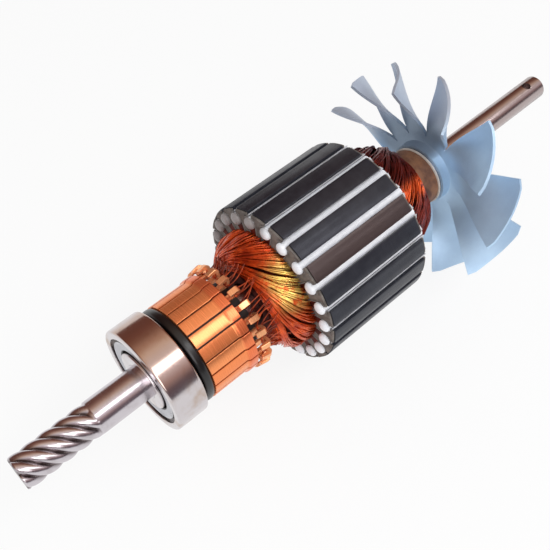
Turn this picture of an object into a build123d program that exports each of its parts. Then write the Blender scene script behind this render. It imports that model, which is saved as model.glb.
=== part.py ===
from build123d import *
import math
import os

# Armature of a small commutator motor, in millimetres.
# The shaft's axis is +X, from the worm pinion towards the fan, and +Z is up.
# The origin is on that axis, at the middle of the ball bearing.

# clearances between pieces that fit together
SEAT_GAP = 0.02
PIECE_GAP = 0.05
RUNNING_GAP = 0.03

# shaft
PINION_LENGTH = 19.4
PINION_RUNOUT = 1.6
PINION_TIP_RADIUS = 4.55
PINION_ROOT_RADIUS = 3.45
PINION_TEETH = 5
PINION_LEAD = 21.4
PINION_ANGLE = 10.0
CREST_SHARE = 0.44
ROOT_SHARE = 0.14
JOURNAL_RADIUS = 4.62
JOURNAL_LENGTH = 14.5
BODY_RADIUS = 5.5
FAN_SEAT_RADIUS = 4.0
TAIL_RADIUS = 3.7
TAIL_LENGTH = 50.0
CROSS_HOLE_RADIUS = 1.4
CROSS_HOLE_FROM_END = 5.9
END_CHAMFER = 0.5

# ball bearing
BEARING_RADIUS = 15.0
BEARING_BORE_RADIUS = 5.0
BEARING_WIDTH = 9.0
BEARING_EDGE = 0.6
BALL_COUNT = 8
BALL_RADIUS = 2.38
BALL_PITCH_RADIUS = 10.0
GROOVE_RADIUS = 2.45
GROOVE_SIDES = 12
BALL_BANDS = 5
INNER_LAND_RADIUS = 8.3
OUTER_LAND_RADIUS = 11.7
SHIELD_RECESS_RADIUS = 12.9
SHIELD_RECESS_DEPTH = 1.05
SHIELD_INNER_RADIUS = 8.75
SHIELD_STEP_RADIUS = 11.2
SHIELD_THICKNESS = 0.35
SHIELD_DISH = 0.25
CAGE_WALL = 1.1
CAGE_WIDTH = 5.7

# commutator
RING_TO_BEARING = 0.7
RING_WIDTH = 2.6
RING_RADIUS = 13.8
RING_EDGE = 0.8
SPACER_STEP = 1.0
COMMUTATOR_RADIUS = 13.9
SHOULDER_RADIUS = 14.4
TRACK_LENGTH = 10.4
SHOULDER_LENGTH = 3.2
SHOULDER_STEP = 0.8
BAR_COUNT = 22
BAR_INNER_RADIUS = 9.4
BAR_SPLIT = 0.62
MICA_DEPTH = 0.8
WEB_ROOTING = 1.0
TANG_WIDTH = 1.9
TANG_THICKNESS = 0.85
TANG_LENGTH = 4.0
TANG_RISE = 2.7
TANG_FOLD_DROP = 0.17
GAP_ANGLE = 125.6

# winding leads at the tangs
LEAD_RADIUS = 0.38
LEAD_SPREAD = 3.3
LEAD_DIP = 1.2
LEAD_SIDES = 6
LEAD_END_GAP = 0.25

# laminated core
CORE_RADIUS = 24.0
CORE_LENGTH = 33.9
COMMUTATOR_TO_CORE = 17.5
SLOT_COUNT = 22
SLOT_ANGLE = 119.2
SLOT_MOUTH = 1.8
TOOTH_TIP = 0.9
SLOT_TOP_DEPTH = 1.7
SLOT_TOP_WIDTH = 4.4
SLOT_DEPTH = 8.8
SLOT_FOOT_WIDTH = 2.2
SLOT_FOOT_CUT = 0.6
INSULATOR_THICKNESS = 0.6
INSULATOR_INSET = 0.3
LINER_THICKNESS = 0.25
LINER_FRONT_OVERHANG = 0.1
LINER_REAR_OVERHANG = 1.0

# slot wedges
WEDGE_RADIUS = 1.5
WEDGE_DEPTH = 2.9
WEDGE_SIDES = 12
WEDGE_HEAD_RADIUS = 1.75
WEDGE_HEAD_LENGTH = 0.5
WEDGE_HEAD_EDGE = 0.25

# windings
WINDING_BORE_GAP = 0.3
FRONT_WINDING_LENGTH = 9.3
REAR_WINDING_LENGTH = 19.0
WINDING_INSET = 5.4
FRONT_WINDING_PROFILE = [(0, 1), (0.32, 0.985), (0.56, 0.91), (0.8, 0.81), (1, 0.70)]
REAR_WINDING_PROFILE = [(0, 1), (0.3, 0.99), (0.51, 0.92), (0.72, 0.81), (0.84, 0.69), (1, 0.56)]

# rear sleeve and fan
SLEEVE_RADIUS = 8.9
SLEEVE_LENGTH = 2.9
WASHER_RADIUS = 9.1
WASHER_THICKNESS = 0.6
COLLAR_GAP = 0.5
FAN_COLLAR_RADIUS = 9.6
FAN_COLLAR_LENGTH = 3.2
FAN_SHEET = 0.8
FAN_DISC_RADIUS = 13.0
FAN_TIP_RADIUS = 33.1
FAN_BLADES = 11
FAN_BLADE_ANGLE = 130.0
FAN_PITCH = 46.0
FAN_CONE = 2.6
FAN_LEAN = 3.4
FAN_LEAN_ANGLE = 115.0
FAN_BLADE_ROOTING = 1.0
FAN_SECTIONS = 3
FAN_TIP_CHORD = 20.4
FAN_ROOT_CHORD = 6.4
FAN_CAMBER = 1.9
HUB_RADIUS = 6.6
HUB_PROUD = 2.6

# stations along the shaft, worked out from the sizes above
bearing_front = -BEARING_WIDTH / 2
bearing_rear = BEARING_WIDTH / 2
pinion_rear = bearing_front - JOURNAL_LENGTH
pinion_front = pinion_rear - PINION_RUNOUT - PINION_LENGTH
ring_front = bearing_rear + RING_TO_BEARING
bars_front = ring_front + RING_WIDTH
shoulder_front = bars_front + TRACK_LENGTH
bars_rear = shoulder_front + SHOULDER_LENGTH
tang_rear = bars_rear + TANG_LENGTH
core_front = bars_rear + COMMUTATOR_TO_CORE
core_rear = core_front + CORE_LENGTH
insulator_front = core_front - INSULATOR_THICKNESS
insulator_rear = core_rear + INSULATOR_THICKNESS
winding_seat_front = insulator_front - LINER_FRONT_OVERHANG
winding_seat_rear = insulator_rear + LINER_REAR_OVERHANG
winding_front = winding_seat_front - FRONT_WINDING_LENGTH
winding_rear = winding_seat_rear + REAR_WINDING_LENGTH
sleeve_rear = winding_rear + SLEEVE_LENGTH
washer_rear = sleeve_rear + WASHER_THICKNESS
fan_plane = washer_rear + COLLAR_GAP + FAN_COLLAR_LENGTH
hub_rear = fan_plane + FAN_SHEET + HUB_PROUD
tail_front = hub_rear
tail_end = tail_front + TAIL_LENGTH
cross_hole_station = tail_end - CROSS_HOLE_FROM_END

bar_pitch = 360 / BAR_COUNT
slot_pitch = 360 / SLOT_COUNT
slot_foot = CORE_RADIUS - SLOT_DEPTH
slot_top = CORE_RADIUS - SLOT_TOP_DEPTH
slot_roof = CORE_RADIUS - TOOTH_TIP
wedge_centre = CORE_RADIUS - WEDGE_DEPTH
winding_radius = CORE_RADIUS - WINDING_INSET


def turned(points):
    """Solid of revolution about the shaft's axis; each point is (station, radius)."""
    outline = Polyline(*[(x, r) for x, r in points], close=True)
    return revolve(make_face(outline), axis=Axis.X)


def tube(x_front, x_rear, r_outer, r_inner):
    """Plain ring or sleeve on the shaft's axis."""
    return turned([(x_front, r_inner), (x_front, r_outer), (x_rear, r_outer), (x_rear, r_inner)])


def turn_to(angle, piece):
    """Turns a piece about the shaft's axis; 0 is +Y and 90 is +Z."""
    return Rot(X=angle) * piece


def section_plane(x):
    """Plane across the shaft whose first axis is +Y and whose second is +Z."""
    return Plane(origin=(x, 0, 0), x_dir=(0, 1, 0), z_dir=(1, 0, 0))


def prism(sketch, x_front, x_rear):
    """Extrudes a drawing made in the cross plane between two stations."""
    return extrude(section_plane(x_front) * sketch, amount=x_rear - x_front)


def pinion_section():
    """Cross-section of the worm pinion: five teeth with wide crests and narrow roots."""
    tooth = 360 / PINION_TEETH
    crest = tooth * CREST_SHARE / 2
    root = tooth * (1 - ROOT_SHARE) / 2
    points = []
    for i in range(PINION_TEETH):
        for radius, turn in (
            (PINION_TIP_RADIUS, -crest),
            (PINION_TIP_RADIUS, crest),
            (PINION_ROOT_RADIUS, root),
            (PINION_ROOT_RADIUS, tooth - root),
        ):
            angle = math.radians(PINION_ANGLE + i * tooth + turn)
            points.append((radius * math.cos(angle), radius * math.sin(angle)))
    return make_face(Polyline(*points, close=True))


def pinion():
    """Right-hand five-start worm pinion that runs out into the plain shaft."""
    length = pinion_rear - pinion_front
    start = section_plane(pinion_front)
    guide = start * Helix(pitch=PINION_LEAD, height=length, radius=PINION_TIP_RADIUS)
    path = Line((pinion_front, 0, 0), (pinion_rear, 0, 0))
    teeth = sweep(start * pinion_section(), path=path, binormal=guide.edge())
    blank = turned([
        (pinion_front, 0),
        (pinion_front, PINION_TIP_RADIUS - END_CHAMFER),
        (pinion_front + END_CHAMFER, PINION_TIP_RADIUS),
        (pinion_rear, PINION_TIP_RADIUS),
        (pinion_rear, 0),
    ])
    runout = turned([
        (pinion_rear - PINION_RUNOUT, 0),
        (pinion_rear - PINION_RUNOUT, PINION_ROOT_RADIUS),
        (pinion_rear, JOURNAL_RADIUS),
        (pinion_rear, 0),
    ])
    return (teeth & blank) + runout


def shaft():
    """Stepped shaft with the worm pinion at one end and a cross hole at the other."""
    steps = turned([
        (pinion_rear, 0),
        (pinion_rear, JOURNAL_RADIUS),
        (bearing_front, JOURNAL_RADIUS),
        (bearing_front, BEARING_BORE_RADIUS - SEAT_GAP),
        (bearing_rear, BEARING_BORE_RADIUS - SEAT_GAP),
        (bearing_rear, BODY_RADIUS),
        (washer_rear, BODY_RADIUS),
        (washer_rear, FAN_SEAT_RADIUS - SEAT_GAP),
        (tail_front, FAN_SEAT_RADIUS - SEAT_GAP),
        (tail_front, TAIL_RADIUS),
        (tail_end - END_CHAMFER, TAIL_RADIUS),
        (tail_end, TAIL_RADIUS - END_CHAMFER),
        (tail_end, 0),
    ])
    hole = Pos(cross_hole_station, 0, 0) * Cylinder(CROSS_HOLE_RADIUS, 4 * TAIL_RADIUS)
    return steps + pinion() - hole


def ball_groove(centre_radius):
    """Ring that cuts a ball groove; the groove's flats lie outside its true circle."""
    section = RegularPolygon(GROOVE_RADIUS, GROOVE_SIDES, major_radius=False)
    return revolve(Pos(0, centre_radius) * section, axis=Axis.X)


def bearing_outer_ring():
    """Outer ring with rounded corners, a ball groove and a seat for each shield."""
    edge = BEARING_EDGE
    recess = bearing_rear - SHIELD_RECESS_DEPTH
    ring = turned([
        (-recess, OUTER_LAND_RADIUS),
        (-recess, SHIELD_RECESS_RADIUS),
        (bearing_front, SHIELD_RECESS_RADIUS),
        (bearing_front, BEARING_RADIUS - edge),
        (bearing_front + edge, BEARING_RADIUS),
        (bearing_rear - edge, BEARING_RADIUS),
        (bearing_rear, BEARING_RADIUS - edge),
        (bearing_rear, SHIELD_RECESS_RADIUS),
        (recess, SHIELD_RECESS_RADIUS),
        (recess, OUTER_LAND_RADIUS),
    ])
    centre = BALL_PITCH_RADIUS + BALL_RADIUS + RUNNING_GAP - GROOVE_RADIUS
    return ring - ball_groove(centre)


def bearing_inner_ring():
    """Inner ring, pressed on the shaft."""
    edge = BEARING_EDGE / 2
    ring = turned([
        (bearing_front, BEARING_BORE_RADIUS),
        (bearing_front, INNER_LAND_RADIUS - edge),
        (bearing_front + edge, INNER_LAND_RADIUS),
        (bearing_rear - edge, INNER_LAND_RADIUS),
        (bearing_rear, INNER_LAND_RADIUS - edge),
        (bearing_rear, BEARING_BORE_RADIUS),
    ])
    centre = BALL_PITCH_RADIUS - BALL_RADIUS - RUNNING_GAP + GROOVE_RADIUS
    return ring - ball_groove(centre)


def bearing_shield(side):
    """Dished sheet shield; side is -1 at the front face and 1 at the rear face."""
    seat = bearing_rear - SHIELD_RECESS_DEPTH
    rim = SHIELD_RECESS_RADIUS - PIECE_GAP
    low = seat
    points = [
        (low + SHIELD_DISH, rim),
        (low + SHIELD_DISH, SHIELD_STEP_RADIUS + SHIELD_DISH),
        (low, SHIELD_STEP_RADIUS),
        (low, SHIELD_INNER_RADIUS),
        (low + SHIELD_THICKNESS, SHIELD_INNER_RADIUS),
        (low + SHIELD_THICKNESS, SHIELD_STEP_RADIUS),
        (low + SHIELD_THICKNESS + SHIELD_DISH, SHIELD_STEP_RADIUS + SHIELD_DISH),
        (low + SHIELD_THICKNESS + SHIELD_DISH, rim),
    ]
    return turned([(side * x, r) for x, r in points])


def bearing_balls():
    """The set of balls, each turned in a few bands, because the shields hide them."""
    outline = []
    for i in range(BALL_BANDS + 1):
        angle = math.pi * i / BALL_BANDS
        outline.append((-BALL_RADIUS * math.cos(angle), BALL_RADIUS * math.sin(angle)))
    ball = Pos(0, BALL_PITCH_RADIUS, 0) * revolve(make_face(Polyline(*outline, close=True)), axis=Axis.X)
    return [turn_to(360 * i / BALL_COUNT, ball) for i in range(BALL_COUNT)]


def bearing_cage():
    """Cage with a pocket round each ball."""
    cage = tube(-CAGE_WIDTH / 2, CAGE_WIDTH / 2, BALL_PITCH_RADIUS + CAGE_WALL / 2,
                BALL_PITCH_RADIUS - CAGE_WALL / 2)
    pocket = Pos(0, BALL_PITCH_RADIUS, 0) * Rot(X=90) * Cylinder(BALL_RADIUS + PIECE_GAP, 4 * CAGE_WALL)
    for i in range(BALL_COUNT):
        cage -= turn_to(360 * i / BALL_COUNT, pocket)
    return cage


def insulating_ring():
    """Rounded moulded ring at the front of the commutator, with a spacer to the inner ring."""
    bore = BODY_RADIUS + SEAT_GAP
    spacer = INNER_LAND_RADIUS - SPACER_STEP
    ring = tube(ring_front, bars_front, RING_RADIUS, bore)
    ring = chamfer(ring.edges().filter_by(GeomType.CIRCLE).sort_by(SortBy.RADIUS)[-2:], RING_EDGE)
    return ring + tube(bearing_rear, ring_front, spacer, bore)


def commutator_core():
    """Moulded core with a thin web standing between each pair of bars."""
    body = tube(bars_front, tang_rear, BAR_INNER_RADIUS - PIECE_GAP, BODY_RADIUS + SEAT_GAP)
    web_top = COMMUTATOR_RADIUS - MICA_DEPTH
    web_width = BAR_SPLIT - 2 * PIECE_GAP
    web_height = web_top - BAR_INNER_RADIUS + WEB_ROOTING
    web_length = bars_rear - bars_front
    web = Pos((bars_front + bars_rear) / 2, web_top - web_height / 2, 0) * Box(web_length, web_height, web_width)
    for i in range(BAR_COUNT):
        body += turn_to(GAP_ANGLE + i * bar_pitch, web)
    return body


def commutator_bar():
    """One copper bar, its shoulder, and the tang folded over the winding leads."""
    profile = Polyline(
        (bars_front, BAR_INNER_RADIUS),
        (bars_front, COMMUTATOR_RADIUS),
        (shoulder_front, COMMUTATOR_RADIUS),
        (shoulder_front + SHOULDER_STEP, SHOULDER_RADIUS),
        (bars_rear, SHOULDER_RADIUS),
        (bars_rear, BAR_INNER_RADIUS),
        close=True,
    )
    bar = Rot(X=-bar_pitch / 2) * revolve(make_face(profile), axis=Axis.X, revolution_arc=bar_pitch)
    gap = Pos((bars_front + bars_rear) / 2, BAR_INNER_RADIUS, 0) * Box(
        2 * (bars_rear - bars_front), 4 * COMMUTATOR_RADIUS, BAR_SPLIT)
    bar = bar - turn_to(bar_pitch / 2, gap) - turn_to(-bar_pitch / 2, gap)
    foot = SHOULDER_RADIUS - TANG_RISE / 2
    top = foot + TANG_RISE
    wall = TANG_THICKNESS
    fold = Polyline(
        (bars_rear, foot - wall),
        (tang_rear - wall, foot - wall),
        (tang_rear, foot),
        (tang_rear, top - wall),
        (tang_rear - wall, top),
        (bars_rear + wall, top - wall / 2),
        (bars_rear + wall, top - wall - TANG_FOLD_DROP),
        (tang_rear - wall, top - wall - TANG_FOLD_DROP),
        (tang_rear - wall, foot),
        (bars_rear, foot),
        close=True,
    )
    tang = extrude(make_face(fold), amount=TANG_WIDTH / 2, both=True)
    return bar + tang


def winding_leads():
    """One lead at each tang: up beside it, through the fold and back to the winding."""
    foot = SHOULDER_RADIUS - TANG_RISE / 2
    eye_x = tang_rear - TANG_THICKNESS - LEAD_RADIUS - PIECE_GAP
    eye_r = foot + LEAD_RADIUS + PIECE_GAP
    side = LEAD_SPREAD / 2
    low_r = eye_r - LEAD_DIP
    end_x = winding_front - LEAD_END_GAP
    path = Polyline(
        (end_x, low_r, side),
        (eye_x, eye_r, side),
        (eye_x, eye_r, -side),
        (end_x, low_r, -side),
    )
    start = Plane(origin=path @ 0, z_dir=path % 0)
    lead = sweep(start * RegularPolygon(LEAD_RADIUS, LEAD_SIDES), path=path, transition=Transition.RIGHT)
    return [turn_to(GAP_ANGLE + (i + 0.5) * bar_pitch, lead) for i in range(BAR_COUNT)]


def slot_drawing(inset, with_mouth):
    """Cross-section of the slot on +Y, drawn smaller by inset on every side."""
    top = SLOT_TOP_WIDTH / 2 - inset
    foot = SLOT_FOOT_WIDTH / 2 - inset
    roof = slot_roof - inset
    mouth = SLOT_MOUTH / 2
    half = [
        (roof, mouth - (0 if with_mouth else inset)),
        (slot_top - inset, top),
        (slot_foot + inset + SLOT_FOOT_CUT, foot),
        (slot_foot + inset, foot - SLOT_FOOT_CUT),
    ]
    mirrored = [(radius, -side) for radius, side in reversed(half)]
    body = make_face(Polyline(*half, *mirrored, close=True))
    if not with_mouth:
        return body
    height = CORE_RADIUS + TOOTH_TIP - roof
    return body + Pos(roof + height / 2, 0) * Rectangle(height, 2 * mouth)


def slotted_disc(radius, inset, x_front, x_rear):
    """Disc with every slot cut through, as one lamination or end board has."""
    disc = Circle(radius) - Circle(BODY_RADIUS + SEAT_GAP)
    slot = slot_drawing(inset, True)
    for i in range(SLOT_COUNT):
        disc -= Rot(Z=SLOT_ANGLE + i * slot_pitch) * slot
    return prism(disc, x_front, x_rear)


def core_stack():
    """The stack of laminations."""
    return slotted_disc(CORE_RADIUS, 0, core_front, core_rear)


def end_insulator(x_front):
    """Fibre end board, a little smaller than a lamination."""
    return slotted_disc(CORE_RADIUS - INSULATOR_INSET, 0, x_front, x_front + INSULATOR_THICKNESS)


def in_slots(piece):
    """Copies of a piece, one in each slot."""
    return [turn_to(SLOT_ANGLE + i * slot_pitch, piece) for i in range(SLOT_COUNT)]


def slot_liners():
    """Paper liner of each slot, open at the slot's mouth."""
    outer = slot_drawing(PIECE_GAP, False)
    inner = slot_drawing(PIECE_GAP + LINER_THICKNESS, False)
    mouth = Pos(slot_roof, 0) * Rectangle(2 * TOOTH_TIP, SLOT_MOUTH)
    paper = outer - inner - mouth
    return in_slots(prism(paper, winding_seat_front, winding_seat_rear))


def slot_wedges():
    """White rod that closes each slot; it shows in the slot's mouth and has a round head at the front."""
    inner = slot_drawing(2 * PIECE_GAP + LINER_THICKNESS, False)
    rod = Pos(wedge_centre, 0) * RegularPolygon(WEDGE_RADIUS, WEDGE_SIDES) & inner
    wedge = prism(rod, winding_seat_front, winding_seat_rear)
    round_end = Pos(wedge_centre, 0) * RegularPolygon(WEDGE_HEAD_RADIUS, WEDGE_SIDES)
    head = prism(round_end, winding_seat_front - WEDGE_HEAD_LENGTH, winding_seat_front)
    rim = head.faces().sort_by(Axis.X)[0].edges()
    return in_slots(wedge + chamfer(rim, WEDGE_HEAD_EDGE))


def slot_coils():
    """Copper in each slot, below the wedge."""
    inner = slot_drawing(2 * PIECE_GAP + LINER_THICKNESS, False)
    top = wedge_centre - WEDGE_RADIUS - PIECE_GAP
    below = Pos(top / 2, 0) * Rectangle(top, SLOT_TOP_WIDTH)
    return in_slots(prism(inner & below, winding_seat_front, winding_seat_rear))


def end_turns(seat, length, profile):
    """Body of end turns; the profile gives each station's share of the length and of the radius."""
    bore = BODY_RADIUS + WINDING_BORE_GAP
    skin = [(seat + length * share, winding_radius * radius_share) for share, radius_share in profile]
    return turned([(seat, bore)] + skin + [(seat + length, bore)])


def front_winding():
    """End turns on the commutator side."""
    return end_turns(winding_seat_front, -FRONT_WINDING_LENGTH, FRONT_WINDING_PROFILE)


def rear_winding():
    """End turns on the fan side, tapered towards the sleeve."""
    return end_turns(winding_seat_rear, REAR_WINDING_LENGTH, REAR_WINDING_PROFILE)


def rear_sleeve():
    """Insulating sleeve between the winding and the fan."""
    return tube(winding_rear, sleeve_rear, SLEEVE_RADIUS, BODY_RADIUS + SEAT_GAP)


def rear_washer():
    """Thin pale washer at the end of the sleeve."""
    return tube(sleeve_rear, washer_rear, WASHER_RADIUS, BODY_RADIUS + SEAT_GAP)


def blade_section(chord, camber):
    """Cross-section of a blade: a strip of the sheet, bowed by camber at its middle."""
    half = chord / 2
    skin = FAN_SHEET / 2
    bow = 2 * camber
    rear = Bezier((-half, skin), (0, skin + bow), (half, skin))
    front = Bezier((half, -skin), (0, bow - skin), (-half, -skin))
    ends = [Line(rear @ 1, front @ 0), Line(front @ 1, rear @ 0)]
    return make_face([rear, ends[0], front, ends[1]])


def fan_blade(angle):
    """One blade, twisted from the flat root to the pitched tip and cut round as the sheet's blank is.

    The whole ring of blades leans a little to one side, as the bent sheet does."""
    root = FAN_DISC_RADIUS - FAN_BLADE_ROOTING
    lean = FAN_LEAN * math.cos(math.radians(angle - FAN_LEAN_ANGLE))
    sections = []
    for i in range(FAN_SECTIONS):
        share = i / (FAN_SECTIONS - 1)
        radius = root + (FAN_TIP_RADIUS - root) * share
        chord = FAN_ROOT_CHORD + (FAN_TIP_CHORD - FAN_ROOT_CHORD) * share
        turn = -FAN_PITCH * math.sin(math.radians(90 * share))
        station = fan_plane + FAN_SHEET / 2 - (FAN_CONE + lean) * share
        plane = Plane(origin=(station, radius, 0), x_dir=(0, 0, 1), z_dir=(0, 1, 0))
        sections.append(plane * Rot(Z=turn) * blade_section(chord, FAN_CAMBER * share))
    blank = tube(fan_plane - FAN_TIP_CHORD, fan_plane + FAN_TIP_CHORD, FAN_TIP_RADIUS, FAN_COLLAR_RADIUS)
    return turn_to(angle, loft(sections) & blank)


def fan():
    """Sheet fan: drawn collar, flat disc and pitched blades."""
    plate = turned([
        (fan_plane - FAN_COLLAR_LENGTH, FAN_COLLAR_RADIUS - FAN_SHEET),
        (fan_plane - FAN_COLLAR_LENGTH, FAN_COLLAR_RADIUS),
        (fan_plane, FAN_COLLAR_RADIUS),
        (fan_plane, FAN_DISC_RADIUS),
        (fan_plane + FAN_SHEET, FAN_DISC_RADIUS),
        (fan_plane + FAN_SHEET, HUB_RADIUS + SEAT_GAP),
        (fan_plane, HUB_RADIUS + SEAT_GAP),
        (fan_plane, FAN_COLLAR_RADIUS - FAN_SHEET),
    ])
    return plate + [fan_blade(FAN_BLADE_ANGLE + i * 360 / FAN_BLADES) for i in range(FAN_BLADES)]


def fan_hub():
    """Bush pressed on the tail of the shaft, with a shoulder that the fan seats on."""
    return turned([
        (washer_rear, FAN_SEAT_RADIUS),
        (washer_rear, FAN_COLLAR_RADIUS - FAN_SHEET - PIECE_GAP),
        (fan_plane, FAN_COLLAR_RADIUS - FAN_SHEET - PIECE_GAP),
        (fan_plane, HUB_RADIUS),
        (hub_rear, HUB_RADIUS),
        (hub_rear, FAN_SEAT_RADIUS),
    ])


def write(name, piece):
    """Writes one node; a list of solids becomes one file of separate solids."""
    if isinstance(piece, list):
        piece = Compound(children=piece)
    export_step(piece, "parts/" + name + ".step")


os.makedirs("parts", exist_ok=True)
write("shaft", shaft())
write("bearing_outer_ring", bearing_outer_ring())
write("bearing_inner_ring", bearing_inner_ring())
write("bearing_front_shield", bearing_shield(-1))
write("bearing_rear_shield", bearing_shield(1))
write("bearing_balls", bearing_balls())
write("bearing_cage", bearing_cage())
write("insulating_ring", insulating_ring())
write("commutator_core", commutator_core())
bar = commutator_bar()
for number in range(BAR_COUNT):
    angle = GAP_ANGLE + (number + 0.5) * bar_pitch
    write("commutator_bar_%02d" % (number + 1), turn_to(angle, bar))
write("winding_leads", winding_leads())
write("core_stack", core_stack())
write("front_end_insulator", end_insulator(insulator_front))
write("rear_end_insulator", end_insulator(core_rear))
write("slot_liners", slot_liners())
write("slot_wedges", slot_wedges())
write("slot_coils", slot_coils())
write("front_winding", front_winding())
write("rear_winding", rear_winding())
write("rear_sleeve", rear_sleeve())
write("rear_washer", rear_washer())
write("fan_hub", fan_hub())
write("fan", fan())
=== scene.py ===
"""Looks of a small commutator motor armature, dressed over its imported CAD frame.

Sizes are in millimetres and turned into metres where a mesh is made. The shaft's axis is +X, from
the worm pinion to the fan. A station is a place along it, and angles about it run in degrees from
+Y (0) towards +Z (90).
"""
import math
import random

import bpy
import numpy as np
from mathutils import Matrix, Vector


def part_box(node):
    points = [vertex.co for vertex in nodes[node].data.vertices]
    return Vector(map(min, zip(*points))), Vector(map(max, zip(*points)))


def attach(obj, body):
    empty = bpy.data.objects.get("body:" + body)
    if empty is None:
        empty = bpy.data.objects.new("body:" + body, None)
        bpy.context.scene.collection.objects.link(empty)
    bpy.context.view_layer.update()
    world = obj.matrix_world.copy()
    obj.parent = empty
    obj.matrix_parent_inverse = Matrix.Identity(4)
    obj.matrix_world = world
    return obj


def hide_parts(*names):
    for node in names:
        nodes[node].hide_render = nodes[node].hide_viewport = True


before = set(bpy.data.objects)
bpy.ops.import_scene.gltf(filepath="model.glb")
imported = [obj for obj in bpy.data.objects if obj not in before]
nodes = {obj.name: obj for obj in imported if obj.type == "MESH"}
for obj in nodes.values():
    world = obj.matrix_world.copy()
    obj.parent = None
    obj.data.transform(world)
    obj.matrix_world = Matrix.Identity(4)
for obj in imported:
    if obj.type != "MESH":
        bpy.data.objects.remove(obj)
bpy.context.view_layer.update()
MM = 0.001

# Sizes that the frame's boxes don't give

FIT_GAP = 0.02

# shaft
PINION_THREADS = 5
PINION_LEAD = 21.4
PINION_ANGLE = 10.0
PINION_TIP = 4.55
PINION_ROOT = 3.45
PINION_RUNOUT = 1.6
PINION_LENGTH = 21.0
PINION_RINGS = 130
THREAD_ROUNDING = 2.4
RUNOUT_CURVE = 1.4
PINION_FACE_SHARE = 0.86
PINION_BEVEL = 0.4
PINION_BEVEL_SLOPE = 0.9
JOURNAL_RADIUS = 4.62
BORE_RADIUS = 5.0
BODY_RADIUS = 5.5
FAN_SEAT_RADIUS = 3.98
TAIL_RADIUS = 3.7
TAIL_END = [(0.5, 0), (0.35, 0.06), (0.08, 0.32), (0, 0.5)]  # (from the end, below the radius)
CROSS_HOLE_RADIUS = 1.4
CROSS_HOLE_FROM_END = 5.9
CROSS_HOLE_REACH = 6.0
SHAFT_SIDES = 200

# bearing: the shield's outline is (depth below the bearing's face, radius, rounding)
RECESS_RADIUS = 12.75
RECESS_DEPTH = 1.05
LAND_RADIUS = 11.7
RIM_ROUNDING = 0.7
SHIELD_OUTLINE = [
    (1.0, 12.73, 0), (0.95, 11.95, 0.1), (0.42, 11.75, 0.15), (0.42, 11.1, 0.2), (0.62, 10.8, 0.15),
    (0.62, 8.95, 0.1), (0.95, 8.75, 0.05), (1.04, 8.75, 0), (1.04, 12.73, 0),
]
SPACER_RADIUS = 7.3
SPACER_LENGTH = 0.7

# commutator
TRACK_LENGTH = 10.4
SHOULDER_LENGTH = 3.2
SHOULDER_RISE_LENGTH = 0.7
BAR_RADIUS = 13.9
BAR_FOOT_RADIUS = 9.4
SHOULDER_RADIUS = 14.4
BAR_SPLIT = 0.48
BAR_WEAR = 0.035
BAR_ROUNDNESS = 0.35
BAR_ACROSS = [-1, -0.965, -0.9, -0.5, 0, 0.5, 0.9, 0.965, 1]
BAR_EDGE_DROP = [0.05, 0.01, 0, 0, 0, 0, 0, 0.01, 0.05]
GAP_ANGLE = 125.6
TANG_FOOT_DROP = 1.35
TANG_RISE = 2.55
TANG_HALF_WIDTH = 0.76
TANG_ROUNDING = 0.1
LEAD_RADIUS = 0.2
LEAD_START_RADIUS = 13.3
LEAD_HOOK_RADIUS = 13.32
LEAD_FROM_TANG_END = 1.5
LEAD_SPREAD = 4.4
LEAD_HOOK_SPREAD = 3.6

# slots and core
SLOT_COUNT = 22
SLOT_PITCH = 360 / SLOT_COUNT
SLOT_ANGLE = 119.2
BROWN_TOOTH_ANGLE = 127.4
WEDGE_DEPTH = 2.9
ROD_RADIUS = 1.5
HEAD_RADIUS = 1.75
HEAD_DOME = 0.95
HEAD_DOME_BACK = 0.25
HEAD_DOME_ANGLES = (14, 32, 50, 66, 80, 90)
WEDGE_SIDES = 24

# windings: the outlines are (share of the length, radius)
FRONT_OUTLINE = ([0, 0.32, 0.56, 0.8, 1.0], [18.6, 18.3, 16.9, 15.1, 13.0])
REAR_OUTLINE = ([0, 0.3, 0.51, 0.72, 0.84, 1.0], [18.6, 18.4, 17.1, 15.1, 12.8, 10.4])
WIRE_RADIUS = 0.2
WIRES_PER_COIL = 32
TURN_SPAN = 150
COIL_ROOT_DEPTH = 0.8
COIL_EXTRA_REACH = 0.6
COIL_HALF_SPREAD = 7.4
COIL_LAYERS_DEPTH = 2.0
DIVE_DEPTH = 5.6
LOOSENESS = 0.34
LOOSE_TWIST = 8
SKIN_DEPTH = 0.95
SKIN_CLEARANCE = 0.25
WINDING_BORE_RADIUS = 7.0
PACKING_BORE_GAP = 0.3
PACKING_SEAT_RADIUS = 15.6
SLIM_SIDE_ANGLE = 190
LONG_SIDE_ANGLE = 40

# fan
HUB_PROUD = 2.6
HUB_RADIUS = 6.6
HUB_BORE_RADIUS = 4.0
HUB_BACK_RADIUS = 8.7
FAN_BLADES = 11
FAN_BLADE_ANGLE = 130.0
FAN_SHEET = 0.8
FAN_COLLAR_RADIUS = 9.6
FAN_COLLAR_LENGTH = 3.2
FAN_COLLAR_FLARE = 0.9
FAN_ROOT_RADIUS = 12.0
FAN_ROOT_CHORD = 6.6
FAN_ROOT_SHARE = 0.97
FAN_TIP_CHORD = 20.4
FAN_TIP_GAP = 0.05
FAN_CORNER_FROM = 0.38
FAN_CORNER_CUT = 0.7
FAN_PITCH = 46.0
FAN_CONE = 2.6
FAN_LEAN = 3.4
FAN_LEAN_ANGLE = 115.0
FAN_CAMBER = 1.9
BLADE_COLUMNS = 9
BLADE_ROWS = 14


def span(node):
    """Front station, rear station and outer radius of a CAD node."""
    low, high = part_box(node)
    radius = max(math.hypot(v.co.y, v.co.z) for v in nodes[node].data.vertices)
    return low.x / MM, high.x / MM, radius / MM


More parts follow.
